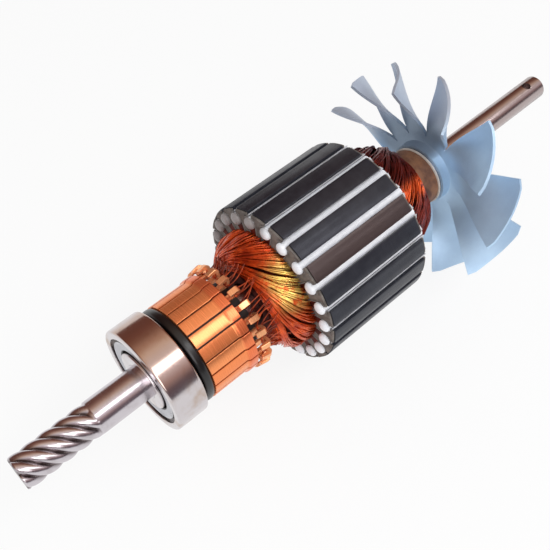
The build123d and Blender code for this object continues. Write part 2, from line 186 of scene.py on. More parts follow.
shaft_front, shaft_rear, _ = span("shaft")
bearing_front, bearing_rear, bearing_radius = span("bearing_outer_ring")
inner_front, inner_rear, inner_radius = span("bearing_inner_ring")
ring_front, ring_rear, ring_radius = span("insulating_ring")
bar_front, tang_rear, _ = span("commutator_bar_01")
winding_front, winding_seat_front, _ = span("front_winding")
core_front, _, core_radius = span("core_stack")
head_front, wedge_rear, _ = span("slot_wedges")
winding_seat_rear, winding_rear, _ = span("rear_winding")
sleeve_front, sleeve_rear, sleeve_radius = span("rear_sleeve")
washer_front, washer_rear, washer_radius = span("rear_washer")
hub_front, hub_rear, _ = span("fan_hub")
_, _, fan_radius = span("fan")

pinion_rear = shaft_front + PINION_LENGTH
shoulder_front = bar_front + TRACK_LENGTH
bar_rear = shoulder_front + SHOULDER_LENGTH
fan_plane = hub_rear - HUB_PROUD - FAN_SHEET
bar_angles = [GAP_ANGLE + (i + 0.5) * SLOT_PITCH for i in range(SLOT_COUNT)]
slot_angles = [SLOT_ANGLE + i * SLOT_PITCH for i in range(SLOT_COUNT)]
bar_nodes = ["commutator_bar_%02d" % (i + 1) for i in range(SLOT_COUNT)]


# Mesh making

def around(x, radius, degrees):
    """Point at a station, radius and angle about the shaft's axis."""
    angle = np.radians(degrees)
    across, up = radius * np.cos(angle), radius * np.sin(angle)
    return np.stack(np.broadcast_arrays(x, across, up), axis=-1)


def piece(name, shape, body, slot, stands_for, finish=None, sharp=35):
    """Makes a piece from (points, faces), smooth but for edges sharper than the given angle."""
    points, faces = shape
    mesh = bpy.data.meshes.new(name)
    mesh.from_pydata((np.asarray(points) * MM).tolist(), [], [list(f) for f in faces])
    mesh.validate()
    mesh.shade_smooth()
    mesh.set_sharp_from_angle(angle=math.radians(sharp))
    mesh.materials.append(finishes[finish or slot])
    made = bpy.data.objects.new(name, mesh)
    bpy.context.scene.collection.objects.link(made)
    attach(made, body)
    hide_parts(*stands_for)
    return made


def sheet_faces(rows, columns, closed_rows=False, closed_columns=False, first=0):
    """Quads of a grid of points numbered row by row."""
    faces = []
    for i in range(rows if closed_rows else rows - 1):
        for j in range(columns if closed_columns else columns - 1):
            k = (j + 1) % columns
            n = (i + 1) % rows
            faces.append((first + i * columns + j, first + i * columns + k,
                          first + n * columns + k, first + n * columns + j))
    return faces


def rod_faces(rows, columns, first=0):
    """Faces of a rod given as rows of points round it, closed at both ends."""
    last = first + (rows - 1) * columns
    return sheet_faces(rows, columns, closed_columns=True, first=first) + [
        tuple(range(first + columns - 1, first - 1, -1)), tuple(range(last, last + columns))]


def eased(outline, steps=4):
    """Rounds the corners of a closed outline of (station, radius, size of the rounding)."""
    result = []
    count = len(outline)
    for i, (x, r, ease) in enumerate(outline):
        corner = np.array([x, r])
        if ease == 0:
            result.append(corner)
            continue
        before = np.array(outline[i - 1][:2]) - corner
        after = np.array(outline[(i + 1) % count][:2]) - corner
        start = corner + before / np.linalg.norm(before) * ease
        end = corner + after / np.linalg.norm(after) * ease
        for k in range(steps + 1):
            t = k / steps
            result.append((1 - t) ** 2 * start + 2 * t * (1 - t) * corner + t ** 2 * end)
    return result


def lathe(name, outline, body, slot, stands_for, finish=None, turns=144):
    """Ring turned about the shaft's axis from a closed outline."""
    line = np.array(eased(outline))
    degrees = np.arange(turns) * 360 / turns
    points = around(line[:, 0][:, None], line[:, 1][:, None], degrees[None, :]).reshape(-1, 3)
    faces = sheet_faces(len(line), turns, closed_rows=True, closed_columns=True)
    piece(name, (points, faces), body, slot, stands_for, finish)


def wire_sides(path):
    """Side and rise vectors that follow a wire's path without twisting."""
    off_the_path = (0.31, 0.77, 0.56)
    tangent = np.gradient(path, axis=0)
    tangent /= np.linalg.norm(tangent, axis=1, keepdims=True)
    start = np.cross(tangent[0], off_the_path)
    side = [start / np.linalg.norm(start)]
    for t in tangent[1:]:
        moved = side[-1] - t * side[-1].dot(t)
        side.append(moved / np.linalg.norm(moved))
    side = np.array(side)
    return side, np.cross(tangent, side)


def wires(paths, radius, sides):
    """Points and faces of wires, one along each path."""
    turn = np.arange(sides) * 2 * math.pi / sides
    across, up = np.cos(turn)[None, :, None], np.sin(turn)[None, :, None]
    points, faces, first = [], [], 0
    for path in paths:
        side, rise = wire_sides(path)
        ring = path[:, None, :] + radius * (across * side[:, None, :] + up * rise[:, None, :])
        points.append(ring.reshape(-1, 3))
        faces += rod_faces(len(path), sides, first)
        first += len(path) * sides
    return np.concatenate(points), faces


def repeated(points, faces, angles):
    """Copies of one shape turned to several angles about the shaft's axis."""
    all_points, all_faces = [], []
    for n, degrees in enumerate(angles):
        a = math.radians(degrees)
        turned = points.copy()
        turned[:, 1] = points[:, 1] * math.cos(a) - points[:, 2] * math.sin(a)
        turned[:, 2] = points[:, 1] * math.sin(a) + points[:, 2] * math.cos(a)
        all_points.append(turned)
        all_faces += [tuple(v + n * len(points) for v in face) for face in faces]
    return np.concatenate(all_points), all_faces


# Node making

def tone(red, green, blue):
    """Colour given as it shows on a screen, 0 to 255, for a shader socket."""
    def linear(value):
        value = value / 255
        return value / 12.92 if value <= 0.04045 else ((value + 0.055) / 1.055) ** 2.4
    return (linear(red), linear(green), linear(blue), 1)


WHITE = (1, 1, 1, 1)


def add(tree, kind, settings=None, **inputs):
    """Adds a node. Inputs are values or other nodes' outputs, by socket name or as n and number."""
    made = tree.nodes.new(kind)
    for key, value in (settings or {}).items():
        setattr(made, key, value)
    for key, value in inputs.items():
        numbered = key.startswith("n") and key[1:].isdigit()
        socket = made.inputs[int(key[1:]) if numbered else key.replace("_", " ")]
        if isinstance(value, bpy.types.NodeSocket):
            tree.links.new(value, socket)
        else:
            socket.default_value = value
    return made


def math_node(tree, operation, a, b=0.0):
    return add(tree, "ShaderNodeMath", {"operation": operation}, n0=a, n1=b).outputs[0]


def product(tree, a, b):
    return math_node(tree, "MULTIPLY", a, b)


def between(tree, value, low, high, to_low=0.0, to_high=1.0):
    """Value stretched from one range to another, smoothly."""
    made = add(tree, "ShaderNodeMapRange", {"interpolation_type": "SMOOTHSTEP"}, Value=value,
               From_Min=low, From_Max=high, To_Min=to_low, To_Max=to_high)
    return made.outputs["Result"]


def blend_colours(tree, share, first, second):
    made = add(tree, "ShaderNodeMix", {"data_type": "RGBA"}, n0=share, n6=first, n7=second)
    return made.outputs[2]


def object_point(tree):
    return add(tree, "ShaderNodeTexCoord").outputs["Object"]


def point_parts(tree):
    """The shaded point's X, Y and Z outputs, in metres."""
    return add(tree, "ShaderNodeSeparateXYZ", Vector=object_point(tree)).outputs


def turned_angle(tree):
    """Angle about the shaft's axis of the shaded point, in degrees."""
    parts = point_parts(tree)
    return product(tree, math_node(tree, "ARCTAN2", parts["Z"], parts["Y"]), 180 / math.pi)


def degrees_from(tree, middle):
    """How many degrees round the shaft the shaded point lies from an angle."""
    return math_node(tree, "ABSOLUTE", math_node(tree, "SUBTRACT", turned_angle(tree), middle))


def station(tree):
    """Station of the shaded point along the shaft, in millimetres."""
    return product(tree, point_parts(tree)["X"], 1 / MM)


def shaft_radius(tree):
    """Distance of the shaded point from the shaft's axis, in millimetres."""
    parts = point_parts(tree)
    square = math_node(tree, "ADD", product(tree, parts["Y"], parts["Y"]),
                       product(tree, parts["Z"], parts["Z"]))
    return product(tree, math_node(tree, "SQRT", square), 1 / MM)


# Effects that several finishes share

def effect_group(name, inputs, output):
    """Empty shader group with named sockets: returns the group, its input and its output node."""
    group = bpy.data.node_groups.new(name, "ShaderNodeTree")
    for label, value in inputs:
        socket = group.interface.new_socket(name=label, in_out="INPUT",
                                            socket_type="NodeSocketFloat")
        socket.default_value = value
    group.interface.new_socket(name=output, in_out="OUTPUT", socket_type="NodeSocketFloat")
    return group, group.nodes.new("NodeGroupInput"), group.nodes.new("NodeGroupOutput")


def turned_marks_group():
    """Fine lines left by turning: they run round the shaft and vary along it."""
    group, ins, outs = effect_group(
        "turned_marks", [("Lines per mm", 6.0), ("Unevenness", 0.5)], "Lines")
    lines = product(group, station(group), ins.outputs["Lines per mm"])
    fine = add(group, "ShaderNodeTexNoise", {"noise_dimensions": "1D"}, W=lines, Detail=3.0)
    patch = add(group, "ShaderNodeTexNoise", Vector=object_point(group), Scale=180.0, Detail=2.0)
    share = product(group, patch.outputs[0], ins.outputs["Unevenness"])
    marks = math_node(group, "ADD", fine.outputs[0], math_node(group, "SUBTRACT", share, 0.25))
    group.links.new(marks, outs.inputs["Lines"])
    return group


def blotches_group():
    """Soft uneven patches, for grime, tarnish and thin spots."""
    group, ins, outs = effect_group(
        "blotches", [("Size mm", 4.0), ("Cover", 0.5), ("Softness", 0.15)], "Mask")
    scale = math_node(group, "DIVIDE", 1 / MM, ins.outputs["Size mm"])
    cloud = add(group, "ShaderNodeTexNoise", Vector=object_point(group), Scale=scale, Detail=5.0,
                Roughness=0.6)
    bare = math_node(group, "SUBTRACT", 1.0, ins.outputs["Cover"])
    low = math_node(group, "SUBTRACT", bare, ins.outputs["Softness"])
    high = math_node(group, "ADD", bare, ins.outputs["Softness"])
    group.links.new(between(group, cloud.outputs[0], low, high), outs.inputs["Mask"])
    return group


def grain_group():
    """Very fine even grain for a matt or pressed surface."""
    group, ins, outs = effect_group("grain", [("Grains per mm", 4.0)], "Height")
    scale = product(group, ins.outputs["Grains per mm"], 1 / MM)
    fine = add(group, "ShaderNodeTexNoise", Vector=object_point(group), Scale=scale, Detail=2.0)
    group.links.new(fine.outputs[0], outs.inputs["Height"])
    return group


turned_marks = turned_marks_group()
blotches = blotches_group()
grain = grain_group()


def place(tree, group, **inputs):
    """Places an effect group in a material, with that material's own values."""
    return add(tree, "ShaderNodeGroup", {"node_tree": group}, **inputs).outputs[0]


def mottled(tree, size_mm, softness, first, second):
    """Two shades of one colour in even soft patches."""
    patch = place(tree, blotches, Size_mm=size_mm, Cover=0.5, Softness=softness)
    return blend_colours(tree, patch, first, second)


def finish_of(name, **inputs):
    """New material with plain values on its shader's sockets: returns it, its tree and shader."""
    material = bpy.data.materials.new(name)
    material.use_nodes = True
    tree = material.node_tree
    shader = tree.nodes["Principled BSDF"]
    for key, value in inputs.items():
        shader.inputs[key.replace("_", " ")].default_value = value
    return material, tree, shader


def feed(tree, shader, **sockets):
    """Feeds the shader's sockets, by name, with values that change over the surface."""
    for key, value in sockets.items():
        tree.links.new(value, shader.inputs[key.replace("_", " ")])


def bump(tree, shader, height, strength, distance_mm):
    made = add(tree, "ShaderNodeBump", Height=height, Strength=strength, Distance=distance_mm * MM)
    feed(tree, shader, Normal=made.outputs["Normal"])


# Finishes

def turned_metal(name, light, dark, roughness, lines, line_bump):
    """Turned or ground metal: lines round the axis, with duller patches. Returns its colour too."""
    material, tree, shader = finish_of(name, Metallic=1.0)
    marks = place(tree, turned_marks, Lines_per_mm=lines, Unevenness=0.5)
    dull = place(tree, blotches, Size_mm=5.0, Cover=0.35, Softness=0.2)
    colour = blend_colours(tree, dull, light, dark)
    lined = between(tree, marks, 0.2, 0.8, roughness * 0.7, roughness * 1.3)
    duller = product(tree, dull, 0.06)
    feed(tree, shader, Base_Color=colour, Roughness=math_node(tree, "ADD", lined, duller))
    bump(tree, shader, marks, 0.5, line_bump)
    return material, tree, shader, colour


def shaft_steel():
    """Ground shaft: painted shade in the worm's valleys, and an oiled tail behind the fan."""
    material, tree, shader, colour = turned_metal(
        "ground_steel", tone(206, 200, 205), tone(180, 172, 174), 0.2, 5.0, 0.012)
    tail = between(tree, station(tree), washer_rear, hub_rear)
    oil_and_sheen = blend_colours(tree, tail, colour, tone(176, 162, 160))
    threads = between(tree, station(tree), pinion_rear - 0.6, pinion_rear + 0.2, 1.0, 0.0)
    valley = between(tree, shaft_radius(tree), PINION_ROOT + 0.15, PINION_TIP - 0.1, 0.75, 0.0)
    # Painted shade: the worm's thread valleys are darkened in the colour.
    painted_groove_shade = product(tree, threads, valley)
    feed(tree, shader, Base_Color=blend_colours(tree, painted_groove_shade, oil_and_sheen, tone(84, 70, 66)))
    return material


def race_steel():
    """Polished bearing rings, with a painted warm reflection on the outer one's rim on its upper
    side.
    """
    material, tree, shader, colour = turned_metal(
        "bearing_steel", tone(208, 202, 204), tone(184, 160, 142), 0.16, 9.0, 0.004)
    rim = between(tree, shaft_radius(tree), bearing_radius - 0.5, bearing_radius - 0.1)
    # Painted reflection: a warm band on the rim's upper side, fixed in place.
    oil_and_sheen = product(tree, rim, between(tree, degrees_from(tree, 94.0), 36.0, 56.0, 0.42, 0.0))
    feed(tree, shader, Base_Color=blend_colours(tree, oil_and_sheen, colour, tone(190, 142, 100)))
    return material


def pressed_shield_steel():
    """Bright pressed shield with painted shade in its groove and in the gap round the inner ring.
    """
    material, tree, shader, colour = turned_metal(
        "shield_steel", tone(186, 186, 192), tone(162, 161, 166), 0.24, 6.0, 0.008)
    radius = shaft_radius(tree)
    groove = between(tree, radius, 11.5, 11.8)
    bore = between(tree, radius, 8.95, 9.25, 1.0, 0.0)
    # Painted shade: the groove and the gap by the inner ring are darkened in the colour.
    painted_groove_shade = math_node(tree, "MAXIMUM", groove, bore)
    feed(tree, shader, Base_Color=blend_colours(tree, painted_groove_shade, colour, tone(26, 24, 26)))
    return material


def plain_metal(name, light, dark, roughness, lines, line_bump):
    return turned_metal(name, light, dark, roughness, lines, line_bump)[0]


def moulded(name, light, dark, roughness, coat=0.0):
    """Moulded plastic or resin with faint unevenness and fine grain."""
    material, tree, shader = finish_of(name, Roughness=roughness, Coat_Weight=coat,
                                       Coat_Roughness=0.08)
    feed(tree, shader, Base_Color=mottled(tree, 3.0, 0.25, light, dark))
    bump(tree, shader, place(tree, grain, Grains_per_mm=5.0), 0.25, 0.02)
    return material


def rod_plastic():
    """White slot rods, whose heads carry painted brown shade on one side."""
    material, tree, shader = finish_of("wedge_plastic", Roughness=0.4)
    clean = mottled(tree, 3.0, 0.25, tone(250, 251, 255), tone(236, 237, 243))
    heads = between(tree, station(tree), core_front - 0.7, core_front - 0.4, 0.8, 0.0)
    side = between(tree, degrees_from(tree, 10.0), 70.0, 82.0, 1.0, 0.0)
    # Painted shade: the heads on one side are browned in the colour.
    painted_shade_mask = product(tree, heads, side)
    feed(tree, shader, Base_Color=blend_colours(tree, painted_shade_mask, clean, tone(112, 98, 92)))
    bump(tree, shader, place(tree, grain, Grains_per_mm=5.0), 0.25, 0.02)
    return material


def lining_paper():
    """White slot paper, darker grey where it shows in front of the core."""
    material, tree, shader = finish_of("slot_paper", Roughness=0.7)
    clean = mottled(tree, 2.5, 0.2, tone(226, 226, 232), tone(198, 196, 198))
    front = between(tree, station(tree), core_front - 0.1, core_front + 0.2, 0.9, 0.0)
    feed(tree, shader, Base_Color=blend_colours(tree, front, clean, tone(112, 104, 99)))
    bump(tree, shader, place(tree, grain, Grains_per_mm=7.0), 0.5, 0.03)
    return material


def board(name, light, dark, roughness, grain_bump, patch_mm=2.5):
    """Paper or fibre: mottled, matt, with a fibrous surface."""
    material, tree, shader = finish_of(name, Roughness=roughness)
    feed(tree, shader, Base_Color=mottled(tree, patch_mm, 0.2, light, dark))
    bump(tree, shader, place(tree, grain, Grains_per_mm=7.0), 0.5, grain_bump)
    return material


def copper_bars():
    """Turned copper, each bar with its own shade, a redder shoulder and pale bent tangs."""
    material, tree, shader = finish_of("commutator_copper", Metallic=0.7)
    marks = place(tree, turned_marks, Lines_per_mm=4.0, Unevenness=0.4)
    turn = math_node(tree, "SUBTRACT", turned_angle(tree), GAP_ANGLE)
    number = math_node(tree, "FLOOR", math_node(tree, "DIVIDE", turn, SLOT_PITCH))
    shade = add(tree, "ShaderNodeTexWhiteNoise", {"noise_dimensions": "1D"}, W=number)
    plain = blend_colours(tree, shade.outputs["Value"], tone(252, 158, 100), tone(246, 142, 84))
    tarnish = place(tree, blotches, Size_mm=3.5, Cover=0.45, Softness=0.2)
    aged = blend_colours(tree, product(tree, tarnish, 0.2), plain, tone(230, 118, 66))
    along = station(tree)
    shoulder = between(tree, along, shoulder_front - 0.1, shoulder_front + 0.8, 0.0, 0.6)
    banded = blend_colours(tree, shoulder, aged, tone(232, 108, 68))
    tang = between(tree, along, bar_rear + 0.3, bar_rear + 0.9)
    feed(tree, shader, Base_Color=blend_colours(tree, tang, banded, tone(248, 176, 126)),
         Roughness=between(tree, marks, 0.2, 0.8, 0.2, 0.3))
    bump(tree, shader, marks, 0.4, 0.01)
    return material


def enamelled(name, light, dark, roughness, coat, painted_highlight=None):
    """Copper wire whose shade varies from turn to turn under a clear skin. The last argument gives
    the colour, middle angle and reach in degrees of a side where a golden highlight is painted in."""
    material, tree, shader = finish_of(name, Metallic=0.75, Coat_Weight=coat, Coat_Roughness=0.1)
    turn = add(tree, "ShaderNodeTexNoise", Vector=object_point(tree), Scale=420.0, Detail=2.0)
    patch = place(tree, blotches, Size_mm=5.0, Cover=0.5, Softness=0.25)
    shade = math_node(tree, "ADD", product(tree, between(tree, turn.outputs[0], 0.35, 0.65), 0.6),
                      product(tree, patch, 0.4))
    colour = blend_colours(tree, shade, light, dark)
    # Painted highlight: golden patches on one side, near the core, in the colour.
    if painted_highlight:
        golden, middle, reach = painted_highlight
        side = between(tree, degrees_from(tree, middle), reach * 0.2, reach, 1.0, 0.0)
        highlight_patches = place(tree, blotches, Size_mm=2.4, Cover=0.58, Softness=0.09)
        near_core = between(tree, station(tree), winding_front + 1.0, winding_front + 4.5)
        shown = product(tree, side, product(tree, highlight_patches, near_core))
        colour = blend_colours(tree, shown, colour, golden)
    feed(tree, shader, Base_Color=colour,
         Roughness=between(tree, patch, 0.0, 1.0, roughness, roughness + 0.15))
    bump(tree, shader, place(tree, grain, Grains_per_mm=3.0), 0.15, 0.03)
    return material


def laminated():
    """Stack of dark sheet laminations, with one tooth left browner by varnish."""
    material, tree, shader = finish_of("lamination_steel", Metallic=0.4)
    marks = place(tree, turned_marks, Lines_per_mm=3.2, Unevenness=0.2)
    blued = mottled(tree, 4.0, 0.25, tone(40, 42, 52), tone(57, 59, 68))
    tooth = between(tree, degrees_from(tree, BROWN_TOOTH_ANGLE), SLOT_PITCH * 0.42,
                    SLOT_PITCH * 0.52, 1.0, 0.0)
    stained = blend_colours(tree, product(tree, tooth, 0.85), blued, tone(86, 66, 60))
    sheet_lines = between(tree, marks, 0.35, 0.75, 0.35, 0.0)
    feed(tree, shader, Base_Color=blend_colours(tree, sheet_lines, stained, tone(36, 38, 46)),
         Roughness=between(tree, marks, 0.2, 0.8, 0.34, 0.52))
    bump(tree, shader, marks, 0.5, 0.05)
    return material


def brushed_aluminium():
    """Rolled aluminium sheet with fine brushing and a faint blue bloom. The blades of one side
    carry a painted warm reflection, and painted shade sits at the blades' roots, most on that side."""
    material, tree, shader = finish_of("fan_aluminium", Metallic=0.5)
    stretched = add(tree, "ShaderNodeMapping", Vector=object_point(tree),
                    Scale=(900.0, 9000.0, 900.0))
    brushing = add(tree, "ShaderNodeTexNoise", Vector=stretched.outputs[0], Scale=1.0,
                   Detail=3.0).outputs[0]
    sheet = mottled(tree, 9.0, 0.3, tone(197, 227, 252), tone(180, 210, 238))
    away = degrees_from(tree, 48.0)
    radius = shaft_radius(tree)
    outer = between(tree, radius, 14.0, 22.0)
    # Painted reflection: warmer blades on one side, fixed on the fan.
    painted_warm_reflection = product(tree, between(tree, away, 52.0, 68.0, 0.5, 0.0), outer)
    warmed = blend_colours(tree, painted_warm_reflection, sheet, tone(190, 184, 190))
    roots = between(tree, radius, 14.0, 23.0, 1.0, 0.0)
    # Painted shade: darker blade roots, strongest on the same side.
    painted_shade_mask = product(tree, roots, between(tree, away, 46.0, 70.0, 0.6, 0.14))
    feed(tree, shader, Base_Color=blend_colours(tree, painted_shade_mask, warmed, tone(96, 98, 110)),
         Roughness=between(tree, brushing, 0.2, 0.8, 0.42, 0.56))
    bump(tree, shader, brushing, 0.25, 0.02)
    return material


finishes = {
    "ground_steel": shaft_steel(),
    "bearing_steel": race_steel(),
    "shield_steel": pressed_shield_steel(),
    "ball_steel": plain_metal("ball_steel", tone(220, 220, 224), tone(200, 200, 206), 0.08, 9.0,
                              0.002),
    "cage_steel": plain_metal("cage_steel", tone(110, 104, 98), tone(80, 74, 68), 0.3, 5.0, 0.01),
    "black_moulding": moulded("black_moulding", tone(9, 8, 9), tone(17, 15, 16), 0.3, coat=0.12),
    "brown_moulding": moulded("brown_moulding", tone(34, 18, 13), tone(22, 12, 9), 0.6),
    "commutator_copper": copper_bars(),
    "enamelled_wire": enamelled("enamelled_wire", tone(246, 104, 36), tone(178, 48, 14), 0.22, 0.4,
                                painted_highlight=(tone(255, 222, 122), 126.0, 34.0)),
    "varnished_wire": enamelled("varnished_wire", tone(146, 46, 30), tone(88, 24, 18), 0.3, 0.4,
                                painted_highlight=(tone(240, 104, 44), 128.0, 16.0)),
    # Painted shade: the leads are a darker copy of the wire colour.
    "lead_wire": enamelled("lead_wire", tone(204, 84, 38), tone(96, 32, 18), 0.3, 0.3),
    # Painted shade: the packing under the end turns is a darker copy of the wire colour.
    "packed_wire": enamelled("packed_wire", tone(116, 34, 14), tone(54, 14, 8), 0.6, 0.0),
    "lamination_steel": laminated(),
    "fibre_board": board("fibre_board", tone(126, 118, 112), tone(86, 79, 75), 0.75, 0.04),
    "slot_paper": lining_paper(),
    "wedge_plastic": rod_plastic(),
    "tan_sleeve": board("tan_sleeve", tone(158, 110, 78), tone(88, 54, 44), 0.6, 0.03,
                        patch_mm=6.0),
    "pale_washer": board("pale_washer", tone(214, 206, 198), tone(190, 180, 170), 0.6, 0.02),
    "fan_aluminium": brushed_aluminium(),
}

node_finishes = {
    "shaft": "ground_steel", "bearing_outer_ring": "bearing_steel",
    "bearing_inner_ring": "bearing_steel", "bearing_front_shield": "shield_steel",
    "bearing_rear_shield": "shield_steel", "bearing_balls": "ball_steel",
    "bearing_cage": "cage_steel", "insulating_ring": "black_moulding",
    "commutator_core": "brown_moulding", "winding_leads": "enamelled_wire",
    "core_stack": "lamination_steel", "front_end_insulator": "fibre_board",
    "rear_end_insulator": "fibre_board", "slot_liners": "slot_paper",
    "slot_wedges": "wedge_plastic", "slot_coils": "packed_wire",
    "front_winding": "enamelled_wire", "rear_winding": "varnished_wire",
    "rear_sleeve": "tan_sleeve", "rear_washer": "pale_washer", "fan_hub": "fan_aluminium",
    "fan": "fan_aluminium",
}
node_finishes.update({name: "commutator_copper" for name in bar_nodes})
for name, finish in node_finishes.items():
    if not nodes[name].material_slots:
        nodes[name].data.materials.append(finishes[finish])
    for one in nodes[name].material_slots:
        one.material = finishes[finish]


def soften_edges(node, width_mm):
    """Rounds a CAD node's sharp edges with modifiers, which leave its mesh as it is."""
    weld = node.modifiers.new("weld", "WELD")
    weld.merge_threshold = 0.002 * MM
    bevel = node.modifiers.new("edges", "BEVEL")
    bevel.width = width_mm * MM
    bevel.segments = 2
    bevel.limit_method = "ANGLE"
    bevel.angle_limit = math.radians(40)
    bevel.harden_normals = True


soften_edges(nodes["core_stack"], 0.12)
soften_edges(nodes["front_end_insulator"], 0.15)
soften_edges(nodes["rear_end_insulator"], 0.15)


# Shaft: worm pinion, journal and tail

def thread_radius(x, degrees):
    """Radius of the worm's surface: broad round-topped threads with narrow valleys."""
    turn = (degrees - PINION_ANGLE) / 360 - (x - shaft_front) / PINION_LEAD
    share = np.abs((PINION_THREADS * turn + 0.5) % 1.0 - 0.5) * 2
    radius = PINION_TIP - (PINION_TIP - PINION_ROOT) * share ** THREAD_ROUNDING
    run = np.clip((x - (pinion_rear - PINION_RUNOUT)) / PINION_RUNOUT, 0, 1)
    return np.maximum(radius, PINION_ROOT + (JOURNAL_RADIUS - PINION_ROOT) * run ** RUNOUT_CURVE)


def make_shaft():
    """Shaft with its rounded threads and the cross hole through the tail."""
    degrees = np.arange(SHAFT_SIDES) * 360 / SHAFT_SIDES
    face = thread_radius(shaft_front, degrees) * PINION_FACE_SHARE
    rings = [around(shaft_front, face, degrees)]
    bevel_rear = shaft_front + PINION_BEVEL
    for x in np.linspace(shaft_front, pinion_rear, PINION_RINGS):
        radius = thread_radius(x, degrees)
        if x < bevel_rear:
            radius = radius - (bevel_rear - x) * PINION_BEVEL_SLOPE
        rings.append(around(x, radius, degrees))
    steps = [
        (pinion_rear + 0.4, JOURNAL_RADIUS), (bearing_front - 0.6, JOURNAL_RADIUS),
        (bearing_front - 0.05, JOURNAL_RADIUS), (bearing_front, BORE_RADIUS - FIT_GAP),
        (bearing_rear, BORE_RADIUS - FIT_GAP), (bearing_rear, BODY_RADIUS),
        (washer_rear, BODY_RADIUS), (washer_rear, FAN_SEAT_RADIUS), (hub_rear, FAN_SEAT_RADIUS),
        (hub_rear + 0.05, TAIL_RADIUS),
    ]
    steps += [(shaft_rear - back, TAIL_RADIUS - below) for back, below in TAIL_END]
    for x, radius in steps:
        rings.append(around(x, radius, degrees))
    points = np.concatenate(rings + [[(shaft_front, 0, 0), (shaft_rear, 0, 0)]])
    faces = sheet_faces(len(rings), SHAFT_SIDES, closed_columns=True)
    front, rear = len(points) - 2, len(points) - 1
    last = (len(rings) - 1) * SHAFT_SIDES
    for j in range(SHAFT_SIDES):
        k = (j + 1) % SHAFT_SIDES
        faces.append((front, k, j))
        faces.append((rear, last + j, last + k))
    drill_cross_hole(piece("worm_shaft", (points, faces), "rotor", "ground_steel", ["shaft"]))


def drill_cross_hole(shaft):
    """Drills the tail with a round cutter and keeps the result as the shaft's mesh."""
    sides = 48
    turn = np.arange(sides) * 2 * math.pi / sides
    x = shaft_rear - CROSS_HOLE_FROM_END + CROSS_HOLE_RADIUS * np.cos(turn)
    y = CROSS_HOLE_RADIUS * np.sin(turn)
    rings = [np.stack([x, y, np.full(sides, z)], axis=-1)
             for z in (-CROSS_HOLE_REACH, CROSS_HOLE_REACH)]
    mesh = bpy.data.meshes.new("cutter")
    mesh.from_pydata((np.concatenate(rings) * MM).tolist(), [], rod_faces(2, sides))
    cutter = bpy.data.objects.new("cutter", mesh)
    bpy.context.scene.collection.objects.link(cutter)
    cut = shaft.modifiers.new("cross_hole", "BOOLEAN")
    cut.operation = "DIFFERENCE"
    cut.object = cutter
    bpy.context.view_layer.update()
    evaluated = shaft.evaluated_get(bpy.context.evaluated_depsgraph_get())
    drilled = bpy.data.meshes.new_from_object(evaluated)
    shaft.modifiers.remove(cut)
    shaft.data = drilled
    shaft.data.set_sharp_from_angle(angle=math.radians(35))
    bpy.data.objects.remove(cutter)


make_shaft()

# Ball bearing

lathe("outer_race", [
    (bearing_front + RECESS_DEPTH, LAND_RADIUS, 0),
    (bearing_front + RECESS_DEPTH, RECESS_RADIUS, 0.1), (bearing_front, RECESS_RADIUS, 0.15),
    (bearing_front, bearing_radius, RIM_ROUNDING), (bearing_rear, bearing_radius, RIM_ROUNDING),
    (bearing_rear, RECESS_RADIUS, 0.15), (bearing_rear - RECESS_DEPTH, RECESS_RADIUS, 0.1),
    (bearing_rear - RECESS_DEPTH, LAND_RADIUS, 0),
], "bearing_housing_side", "bearing_steel", ["bearing_outer_ring"], turns=192)
lathe("inner_race", [
    (inner_front, BORE_RADIUS, 0.15), (inner_front, inner_radius, 0.35),
    (inner_rear, inner_radius, 0.35), (inner_rear, BORE_RADIUS, 0.15),
], "rotor", "bearing_steel", ["bearing_inner_ring"])
for end, inward, face in (("front", 1, bearing_front), ("rear", -1, bearing_rear)):
    outline = [(face + inward * depth, r, ease) for depth, r, ease in SHIELD_OUTLINE]
    lathe(end + "_pressed_shield", outline[::inward], "bearing_housing_side", "shield_steel",
          ["bearing_%s_shield" % end])

# Black ring in front of the commutator

spacer_rear = ring_front + SPACER_LENGTH
lathe("rounded_ring", [
    (ring_front, BODY_RADIUS + FIT_GAP, 0), (ring_front, SPACER_RADIUS, 0.1),
    (spacer_rear, SPACER_RADIUS, 0), (spacer_rear, ring_radius, 1.1),
    (ring_rear, ring_radius, 1.0), (ring_rear, BODY_RADIUS + FIT_GAP, 0),
], "rotor", "black_moulding", ["insulating_ring"])


# Slot wedges

def make_wedges():
    """White rods that close the slots, each with a domed head at the front."""
    turn = np.arange(WEDGE_SIDES) * 2 * math.pi / WEDGE_SIDES
    wedge_centre = core_radius - WEDGE_DEPTH
    steps = [(head_front + HEAD_DOME_BACK - HEAD_DOME * math.cos(math.radians(a)),
              HEAD_RADIUS * math.sin(math.radians(a))) for a in HEAD_DOME_ANGLES]
    steps += [(winding_seat_front, HEAD_RADIUS), (winding_seat_front, ROD_RADIUS),
              (wedge_rear, ROD_RADIUS)]
    rings = [np.stack([np.full(WEDGE_SIDES, x), wedge_centre + radius * np.cos(turn),
                       radius * np.sin(turn)], axis=-1) for x, radius in steps]
    faces = [face[::-1] for face in rod_faces(len(steps), WEDGE_SIDES)]
    piece("wedge_rods", repeated(np.concatenate(rings), faces, slot_angles), "rotor",
          "wedge_plastic", ["slot_wedges"], sharp=40)


make_wedges()


# End windings

def slim_side(start):
    """1 for the coils on the side where the rear winding is slimmer, 0 for the others."""
    return max(0.0, math.cos(math.radians(start - SLIM_SIDE_ANGLE)))


def even_reach(start):
    return 1.0


def longer_on_one_side(start):
    """Share of its length that a rear coil reaches, by the angle of its slot."""
    return 0.88 + 0.10 * math.cos(math.radians(start - LONG_SIDE_ANGLE))


